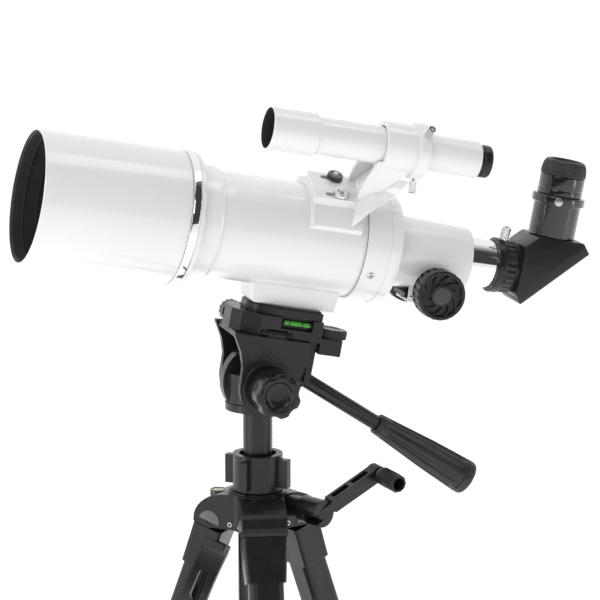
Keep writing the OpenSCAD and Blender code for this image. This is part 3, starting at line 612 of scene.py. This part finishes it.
bm = bmesh.new()
turned(bm, EYE, [(14.1, 76.15, 0), (17.1, 76.15, 0), (17.5, 76.6, 0), (17.45, 77.6, 0), (17.35, 78.0, 0),
                 (17.3, 79.8, 0), (16.6, 83.9, 0), (15.6, 86.0, 0), (14.6, 87.3, 0), (13.4, 87.9, 0),
                 (12.3, 87.8, 0), (11.7, 87.2, 0), (11.5, 85.3, 0), (14.1, 85.2, 0)], seg=46 * 6,
       round_to=0.3, shape=flutes(46, 0.5, 0.36, 77.9, 86.1), closed=True)
add_piece("eyecup_ribbed", bm, "eyepiece", [rubber], ["eyecup"])

# ---------- pieces: finder ----------

# finder tube with its hood
bm = bmesh.new()
turned(bm, FINDER, [(14.9, 160.3, 1), (14.6, 161.5, 1), (14.6, 190, 1), (12.6, 190.2, 1), (12.6, 325, 0),
                    (13.6, 325, 0), (14, 324.4, 0), (14, 197.6, 0), (14.5, 196.9, 0), (15.6, 196.4, 0),
                    (16, 195.7, 0), (16, 160.8, 0), (15.5, 160.05, 0), (15.2, 160.05, 1)], seg=160,
       round_to=0.3, closed=True)
for k in range(6):
    z = 164 + 4.4 * k
    turned(bm, FINDER, [(14.62, z, 1), (14.1, z + 0.3, 1), (14.1, z + 0.6, 1), (14.62, z + 0.9, 1)],
           seg=128, round_to=0)
add_piece("finder_tube_shell", bm, "finder", [white, flock], ["finder_tube"])

# finder eyepiece
bm = bmesh.new()
turned(bm, FINDER, [(11.5, 313.1, 0), (12.45, 313.1, 0), (12.45, 325.2, 0), (12.0, 325.3, 0),
                    (11.7, 325.8, 0), (11.7, 327.6, 0), (12.25, 328.2, 0), (12.25, 332.8, 0),
                    (11.8, 334.0, 0), (11.2, 334.45, 0), (9.2, 334.45, 0), (8.6, 333.4, 0),
                    (8.5, 328.25, 0), (11.5, 328.2, 0)], seg=120, round_to=0.3, closed=True)
add_piece("finder_eyepiece_ring", bm, "finder_eyepiece", [plastic], ["finder_eyepiece"])

# three screws that aim the finder; the far one is white
bm = bmesh.new()
for k, body_mat in enumerate((0, 1, 0)):
    m = radial(FINDER, 205 + 120 * k, 277.5, 0)
    knurled(bm, m, 2.75, 22.6, 31.2, 16, 0.22, body_mat)
    turned(bm, m, [(0, 14.1, 0), (1.5, 14.2, 0), (1.6, 22.7, 0), (0, 22.7, 0)], seg=32, round_to=0.1)
    turned(bm, m, [(0, 31.0, 2), (2.05, 31.25, 2), (2.3, 31.48, 2), (2.6, 31.3, 2)], seg=48,
           round_to=0.05)
add_piece("finder_screw_heads", bm, "finder", [steel, white, detail_and_painted_shade_black],
          ["finder_screws"])

# two knurled nuts on threaded studs, a silver one near and a black one far
bm = bmesh.new()
for y, body_mat in ((-11.5, 0), (11.5, 1)):
    m = (place(TUBE, rz=finder_lean) @ Matrix.Translation((-47.6, y, 227))
         @ Matrix.Rotation(math.radians(-90), 4, "Y"))
    grip = outside(5.7, flutes(24, 0.3, 0.5, 0.6, 3.4))
    turned(bm, m, [(2.0, 0.1, body_mat), (5.6, 0.1, body_mat), (6, 0.5, body_mat), (6, 0.8, body_mat),
                   (6, 3.0, body_mat), (6, 3.3, body_mat), (5.5, 3.9, body_mat), (3.4, 3.9, body_mat),
                   (2.4, 3.3, body_mat), (2.0, 3.2, body_mat)], seg=24 * 6, round_to=0.2, shape=grip,
           closed=True)
    thread = [(0, 5.4, 2), (1.5, 5.4, 2)]
    for j in range(10):
        thread += [(1.95, 5.0 - j * 0.5, 2), (1.65, 4.75 - j * 0.5, 2)]
    thread += [(1.9, -1, 2), (1.9, -7.8, 2), (0, -7.8, 2)]
    turned(bm, m, thread, seg=36, round_to=0)
add_piece("finder_bracket_nuts", bm, "scope", [steel, gloss_black, steel],
          ["bracket_nuts"])

# ---------- pieces: head ----------

def scalloped(count, reach, bite, rim, turn=0.0):
    """Round bites out of a rim: each a circle of radius bite whose centre is at reach."""
    def shape(r, z, a):
        if r < rim * 0.72:
            return r, z
        t = (a - turn) % (TURN / count)
        t = min(t, TURN / count - t)
        inside = bite ** 2 - (reach * math.sin(t)) ** 2
        cut = reach * math.cos(t) - math.sqrt(inside) if inside > 0 else rim + (abs(inside) ** 0.5) * 0.2
        soft = 0.5
        both = math.exp(-min(cut, rim + 6) / soft) + math.exp(-rim / soft)
        limit = -soft * math.log(both) + soft * 0.02
        return r * min(1.0, limit / rim), z
    return shape


CHEEK = HEAD @ NEAR

# tilt knob: shaft, base and a seven-lobed head with a dish in its face
bm = bmesh.new()
turned(bm, CHEEK, [(0, -14, 0), (3.6, -14, 0), (4, -13.4, 0), (4, 30.45, 0), (14.9, 30.45, 0),
                   (15.4, 31.2, 0), (15.4, 44.6, 0), (0, 44.6, 0)], seg=128, round_to=0.3)
lobes = scalloped(7, 23, 7.5, 17.5, math.radians(13))
turned(bm, CHEEK, [(0, 44.2, 0), (15.6, 44.2, 0), (17.1, 44.9, 0), (17.5, 46.2, 0), (17.5, 57.6, 0),
                   (17.1, 59.0, 0), (15.9, 59.7, 0), (14.4, 59.95, 0), (12.3, 59.9, 0), (11.2, 59.5, 0),
                   (10.7, 58.8, 0), (9.6, 57.5, 0), (7.6, 56.4, 0), (4.6, 55.75, 0), (0, 55.5, 0)],
       seg=7 * 32, round_to=0.4, shape=lobes)
add_piece("tilt_knob_lobed", bm, "tilt_knob", [head], ["tilt_knob"])

# ring, ribs and creases on the near cheek of the yoke
bm = bmesh.new()
turned(bm, CHEEK, [(16.6, 29.7, 0), (19.8, 29.7, 0), (19.8, 30.2, 0), (19.3, 30.55, 0), (17.2, 30.55, 0),
                   (16.6, 30.3, 0)], seg=128, round_to=0.15, closed=True)
for k in range(6):
    rib = place(CHEEK, rz=158 + 5 * k) @ Matrix.Translation((18.3, 0, 0))
    block(bm, rib, (-1.3, -0.35, 30.3), (1.3, 0.35, 30.8), 0.15, 0, 1)
for outline in (((-20.6, 33.4), (-20.6, 32.5), (14.2, 12.6), (14.8, 13.5)),
                ((-16.2, 34.2), (-15.2, 33.9), (13.4, 16.2), (13.0, 17.0))):
    solid(bm, CHEEK, outline, 29.8, 30.32, 0.2, 0, 1)
add_piece("yoke_cheek_trim", bm, "yoke", [head])

# green level vial with its two marks and dark ends
VIAL = HEAD @ Matrix.Translation((3, -23.6, 50)) @ Matrix.Rotation(math.radians(90), 4, "Y")
bm = bmesh.new()
turned(bm, VIAL, [(0, 0, 0), (0.9, 0.12, 0), (1.5, 0.5, 0), (1.85, 1.3, 0), (1.85, 21.7, 0),
                  (1.5, 22.5, 0), (0.9, 22.88, 0), (0, 23, 0)], seg=48, round_to=0.1)
for z, half in ((0.8, 0.8), (5.6, 0.5), (15.6, 0.5), (22.2, 0.8)):
    turned(bm, VIAL, [(1.2, z - half, 1), (1.92, z - half + 0.05, 1), (1.92, z + half - 0.05, 1),
                      (1.2, z + half, 1)], seg=48, round_to=0)
add_piece("level_vial_capsule", bm, "platform", [vial, detail_and_painted_shade_black], ["level_vial"])

# ridged wheel that locks the plate
WHEEL = HEAD @ Matrix.Translation((45, -16, 42.6))
bm = bmesh.new()
ridge = outside(11.5, flutes(28, 0.75, 0.42, 0.8, 5.9))
turned(bm, WHEEL, [(0, -4.6, 0), (2, -4.6, 0), (2, 0, 0), (11.2, 0, 0), (12, 0.6, 0), (12, 0.82, 0),
                   (12, 5.85, 0), (12, 5.95, 0), (11.3, 6.7, 0), (10.4, 7, 0), (6.2, 7, 0), (5.8, 6.5, 0),
                   (0, 6.5, 0)], seg=28 * 10, round_to=0.15, shape=ridge)
add_piece("plate_wheel_ridged", bm, "plate_wheel", [head], ["plate_wheel"])

# pan handle: rod, then a grip with eight long flutes
grip_axis = joint_axis("handle_twist")
if grip_axis.x < 0:
    grip_axis = -grip_axis
GRIP = axes(joint_pos("handle_twist"), side, grip_axis.cross(side), grip_axis)
rod_pin = 3
rod_low = local_box("pan_handle_rod", GRIP)[0].z
grip_high = local_box("pan_handle_grip", GRIP)[1].z
GRIP = GRIP @ Matrix.Translation((0, 0, rod_low + rod_pin))
reach = grip_high - rod_low - rod_pin
bm = bmesh.new()
turned(bm, GRIP, [(0, -3, 0), (3.6, -3, 0), (4, -2.6, 0), (4, 1.45, 0), (5.3, 1.5, 0), (5.75, 2.0, 0),
                  (5.75, 84, 0), (0, 84, 0)], seg=64, round_to=0.2)
add_piece("pan_handle_tube", bm, "handle", [anodised], ["pan_handle_rod"])

start = 71
length = reach - start
bm = bmesh.new()


def grip_shape(r, z, a):
    if r < 7.6 or not start + 6 < z < start + length - 9:
        return r, z
    t = abs((a * 8 / TURN) % 1 - 0.5) / 0.30
    run_in = min(1.0, (z - start - 6) / 7, (start + length - 9 - z) / 5)
    depth = 1.75 * max(0.0, 1 - t * t) * math.sin(run_in * math.pi / 2)
    return r - depth, z


profile = [(5.8, start + 0.3, 0), (7.4, start, 0), (8.0, start + 0.5, 0)]
for k in range(1, 32):
    t = k / 32
    z = start + 0.6 + (length - 9) * t
    if t < 0.6:
        r = 8.1 + 3.6 * (t / 0.6) ** 1.1
    else:
        r = 11.7 + 1.55 * ((t - 0.6) / 0.4)
    profile.append((r, z, 0))
profile += [(13.3, start + length - 8.2, 0), (12.7, start + length - 7.9, 1),
            (12.7, start + length - 7.3, 0), (13.4, start + length - 7.0, 0),
            (13.5, start + length - 2.2, 0), (12.9, start + length - 0.5, 0),
            (12.2, start + length - 0.05, 0), (9.6, start + length - 0.05, 0),
            (9.2, start + length - 0.7, 0), (0, start + length - 0.9, 0)]
turned(bm, GRIP, profile, seg=8 * 24, round_to=0.25, shape=grip_shape)
add_piece("pan_handle_grip_fluted", bm, "handle", [rubber, detail_and_painted_shade_black], ["pan_handle_grip"])

# ---------- pieces: tripod ----------

# ten-sided crank knob with a hollow end
spin_axis = joint_axis("crank_knob_spin")
spin_side = UP.cross(spin_axis).normalized()
SPIN = axes(joint_pos("crank_knob_spin"), spin_side, spin_axis.cross(spin_side), spin_axis)
bm = bmesh.new()


def faceted(r, z, a):
    if r < 4.8 or z < 7:
        return r, z
    t = (a * 10 / TURN) % 1 - 0.5
    return r * math.cos(math.pi / 10) / math.cos(t * TURN / 10) * 1.012, z


turned(bm, SPIN, [(0, -4, 0), (2.5, -4, 0), (2.5, 5.45, 0), (4.9, 5.5, 0), (6.6, 8.2, 0), (7.1, 10, 0),
                  (7.15, 27.8, 0), (6.9, 29.6, 0), (6.3, 30.7, 0), (5.6, 30.95, 0), (4.9, 30.6, 0),
                  (4.65, 29.4, 0), (4.6, 17.2, 0), (0, 17, 0)], seg=120, round_to=0.35, shape=faceted)
add_piece("crank_knob_grip", bm, "crank_knob", [plastic], ["crank_knob"])


def leg_frame(i):
    """The frame of an open leg, x outward, y across, z up along the leg; and its z direction."""
    hinge = joint_pos("leg_%d_fold" % i)
    along = -joint_axis("leg_%d_extend" % i)
    outward = Vector((hinge.x, hinge.y, 0)).normalized()
    across = along.cross(outward).normalized()
    return axes(hinge, across.cross(along), across, along), along


def rounded_outline(w, d, r, steps=5):
    """A rectangle w by d about the origin with corners of radius r."""
    out = []
    for cx, cy, turn in ((1, 1, 0), (-1, 1, 90), (-1, -1, 180), (1, -1, 270)):
        for k in range(steps + 1):
            a = math.radians(turn + 90 * k / steps)
            out.append((cx * (w / 2 - r) + r * math.cos(a), cy * (d / 2 - r) + r * math.sin(a)))
    return out


# lower leg tubes with ridged rubber boots, cut off flat at the floor
foot_r = 14
for i in (1, 2, 3):
    LEG, along = leg_frame(i)
    slant = math.hypot(along.x, along.y) / along.z
    sole = local_box("leg_%d_lower" % i, LEG)[0].z + foot_r * slant
    bm = bmesh.new()
    solid(bm, LEG, rounded_outline(17, 21, 4), sole + 24, -100, 0.2, 0, 1)
    boot = [(0, sole - 6, 1), (foot_r, sole - 6, 1)]
    for k in range(4):
        z = sole + 6.5 + 4 * k
        boot += [(foot_r, z, 1), (foot_r - 0.6, z + 0.5, 1), (foot_r - 0.6, z + 1.1, 1),
                 (foot_r, z + 1.6, 1)]
    boot += [(foot_r, sole + 21.4, 1), (foot_r - 1.1, sole + 22.2, 1), (12, sole + 22.6, 1),
             (12, sole + 29, 1), (11.2, sole + 30, 1), (0, sole + 30, 1)]
    turned(bm, LEG, boot, seg=96, round_to=0.25)
    for v in bm.verts:
        if v.co.z < 0:
            v.co += along * (-v.co.z / along.z)
    add_piece("leg_%d_lower_tube_and_boot" % i, bm, "leg_%d_lower" % i, [grey_tube, rubber],
              ["leg_%d_lower" % i])

# half-round hinge covers and a small screw on both sides of each ear of the shoulder; the screw's sunken centre is
# painted shade
bm = bmesh.new()
for i in (1, 2, 3):
    LEG, along = leg_frame(i)
    for turn in (NEAR, FAR):
        ear = LEG @ turn
        disc = [(8.6 * math.cos(math.radians(a)), 8.6 * math.sin(math.radians(a)))
                for a in range(0, 181, 6)]
        flip = 1 if turn is NEAR else -1
        disc = [(x, y * flip) for x, y in disc]
        solid(bm, ear, [(x, y - 0.6 * flip) for x, y in disc], 16.9, 17.7, 0.35, 0, 2)
        groove = [(9.3 * math.cos(math.radians(a)), flip * 9.3 * math.sin(math.radians(a)))
                  for a in range(0, 181, 6)]
        solid(bm, ear, [(x, y - 0.6 * flip) for x, y in groove], 16.9, 17.1, 0.0, 1, 1)
        spot = ear @ Matrix.Translation((-16.5, 4.2 * flip, 17))
        # painted shade: the screw's sunken centre is a near-black disc inside a steel rim
        turned(bm, spot, [(0, 0.16, 1), (1.1, 0.16, 1), (1.15, 0.3, 2), (1.7, 0.3, 2), (1.9, 0.05, 2)],
               seg=32, round_to=0.05)
add_piece("hinge_covers", bm, "tripod", [grey, detail_and_painted_shade_black, steel])

# round level on the third ear
hinge = joint_pos("leg_3_fold")
outward = Vector((hinge.x, hinge.y, 0)).normalized()
ROUND = axes(outward * 0.0325 + Vector((0, 0, hinge.z + 0.0187)), side.cross(UP), side, UP)
bm = bmesh.new()
turned(bm, ROUND, [(6.6, -6, 1), (6.6, 1.7, 1), (6.2, 2.3, 1), (5.5, 2.3, 1), (5.2, 1.9, 1),
                   (5.1, 1.6, 0), (3.4, 2.15, 0), (1.6, 2.35, 0), (0, 2.4, 0)], seg=64, round_to=0.2)
turned(bm, ROUND, [(1.5, 2.34, 2), (1.6, 2.42, 2), (1.75, 2.40, 2), (1.85, 2.30, 2)], seg=48, round_to=0)
add_piece("round_level", bm, "tripod", [pale_vial, gloss_black, detail_and_painted_shade_black])

# ring under the column collar
COLLAR = axes(joint_pos("collar_turn"), side.cross(UP), side, UP)
bm = bmesh.new()
turned(bm, COLLAR, [(21.2, -29.6, 0), (22.2, -29.2, 0), (22.4, -28.7, 0), (21.8, -28.3, 0),
                    (19.4, -28.25, 0), (19.2, -28.9, 0)], seg=128, round_to=0.2, closed=True)
add_piece("collar_seat_ring", bm, "tripod", [head])

# clamp under the focuser with its slit and screw; the slit and the screw's cross recess are painted shade, not cut
CLAMP = HEAD @ Matrix.Translation(focus_centre)
bm = bmesh.new()
block(bm, CLAMP, (-15.4, -13.4, -11.6), (-6.6, -11.9, 3.0), 0.7, 0, 3)
block(bm, CLAMP, (-15.4, 11.9, -11.6), (-6.6, 13.4, 3.0), 0.7, 0, 3)
block(bm, CLAMP, (-15.4, -13.4, -12.2), (-6.6, 13.4, -10.2), 0.7, 0, 3)
# the slit: a thin near-black sheet just proud of the wall, painted shade where a gap would be
block(bm, CLAMP, (-14.2, -13.46, -8.6), (-7.6, -12.6, -7.2), 0.3, 1, 1)
screw = CLAMP @ Matrix.Translation((-9.6, -5, -12.1)) @ Matrix.Rotation(math.pi, 4, "X")
cross_screw(bm, screw, 3.1, 1.5, 2, 1)
add_piece("focuser_clamp", bm, "scope", [white, detail_and_painted_shade_black, steel])

# ramp from the saddle up to the finder ring, on the near side, and the bead on the saddle's front edge
BRACKET = place(TUBE, rz=finder_lean)


def smooth_path(points, count):
    """Points along a smooth curve through the given ones."""
    pts = [Vector(p) for p in points]
    pts = [2 * pts[0] - pts[1]] + pts + [2 * pts[-1] - pts[-2]]
    out = []
    for k in range(count + 1):
        t = k / count * (len(pts) - 3)
        i = min(int(t), len(pts) - 4)
        t -= i
        a, b, c, d = pts[i:i + 4]
        out.append(0.5 * (2 * b + (c - a) * t + (2 * a - 5 * b + 4 * c - d) * t * t
                          + (3 * b - a - 3 * c + d) * t ** 3))
    return out


def web(bm, m, low, high, thick, count=24, mat=0):
    """A plate between two curved edges given as (height, side, station), rounded at both edges."""
    low, high = smooth_path(low, count), smooth_path(high, count)
    rings = []
    for k in range(count + 1):
        a = Vector((-low[k].x, low[k].y, low[k].z))
        b = Vector((-high[k].x, high[k].y, high[k].z))
        n = min(k + 1, count)
        ahead = Vector((-low[n].x, low[n].y, low[n].z))
        behind = Vector((-low[n - 1].x, low[n - 1].y, low[n - 1].z))
        normal = (b - a).cross(ahead - behind).normalized()
        if normal.y > 0:
            normal = -normal
        over = (b - a).normalized()
        ring = []
        for t, lift in ((0, 0.15), (0, 0.6), (0.0, 0.9), (0.25, 1), (0.5, 1.0), (0.75, 1), (1, 0.9),
                        (1, 0.6), (1, 0.15)):
            inset = 0.35 * (1 if t == 0 else -1 if t == 1 else 0) * (1 - abs(lift - 0.5) * 1.2)
            ring.append(bm.verts.new(m @ (a.lerp(b, t) - over * inset + normal * (lift - 1) * thick)))
        rings.append(ring)
    for i in range(count):
        for j in range(len(rings[0])):
            n = (j + 1) % len(rings[0])
            face = bm.faces.new((rings[i][j], rings[i][n], rings[i + 1][n], rings[i + 1][j]))
            face.material_index = mat
    bm.faces.new(rings[0])
    bm.faces.new(rings[-1][::-1])


bm = bmesh.new()
web(bm, BRACKET, [(34.5, -30.2, 236.6), (49, -26, 249), (60, -21, 263), (72, -16.8, 273.4)],
    [(47.6, -16.2, 239.2), (56.5, -14.8, 248.4), (59.2, -14.0, 255.0), (69.5, -13.2, 261.5)], 2.4)
bead = []
for k in range(49):
    angle = math.radians(180 - 46 + 92 * k / 48)
    ring = []
    for j in range(10):
        t = TURN * j / 10
        r = 44.1 + 1.15 * math.cos(t)
        ring.append(bm.verts.new(BRACKET @ Vector((r * math.cos(angle), r * math.sin(angle),
                                                   207.6 + 1.4 * math.sin(t)))))
    bead.append(ring)
for k in range(48):
    for j in range(10):
        n = (j + 1) % 10
        bm.faces.new((bead[k][j], bead[k][n], bead[k + 1][n], bead[k + 1][j]))
bm.faces.new(bead[0])
bm.faces.new(bead[-1][::-1])
add_piece("finder_bracket_ramp", bm, "finder", [white])
